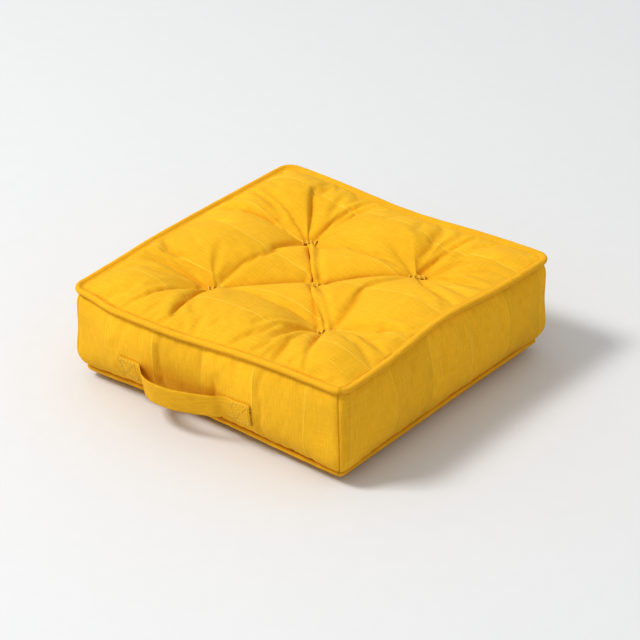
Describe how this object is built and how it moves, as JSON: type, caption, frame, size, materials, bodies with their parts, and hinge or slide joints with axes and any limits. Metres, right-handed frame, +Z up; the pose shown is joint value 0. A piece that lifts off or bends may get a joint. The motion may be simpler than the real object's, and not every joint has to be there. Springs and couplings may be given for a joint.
{
  "type": "floor cushion",
  "caption": "Square tufted floor cushion with boxed sides, piped seams and a fabric carrying strap sewn to one side.",
  "frame": {"origin": "on the floor, under the middle of the cushion, in the plane of its flat underside", "axes": "+Z up through the cushion's thickness, -Y out of the side that carries the strap, +X to the right seen from that side"},
  "size_m": [0.407, 0.4349, 0.1388],
  "materials": {
    "canvas": "cotton canvas with a fine rib, matt",
    "piping": "bias-cut cotton canvas over cord, matt",
    "strap": "folded cotton canvas strap, matt",
    "thread": "spun sewing thread and tufting twine",
    "cord": "white cotton filler cord, inside only",
    "filling": "white polyester fibre, inside only"
  },
  "bodies": {
    "cushion": {"top_panel": "canvas", "bottom_panel": "canvas", "boxing_front": "canvas", "boxing_right": "canvas", "boxing_back": "canvas", "boxing_left": "canvas", "piping_cover_top": "piping", "piping_cover_bottom": "piping", "piping_cord_top": "cord", "piping_cord_bottom": "cord", "fill_block": "filling", "tuft_twine_1": "thread", "tuft_twine_2": "thread", "tuft_twine_3": "thread", "tuft_twine_4": "thread", "tuft_twine_5": "thread", "handle_end_left": "strap", "handle_end_right": "strap", "handle_stitching_left": "thread", "handle_stitching_right": "thread"},
    "handle": {"handle_loop": "strap"}
  },
  "joints": [
    {"name": "handle_swing", "type": "hinge", "parent": "cushion", "child": "handle", "pos_m": [0, -0.2185, 0.048], "axis": [1, 0, 0], "range_deg": [-40, 40]}
  ]
}
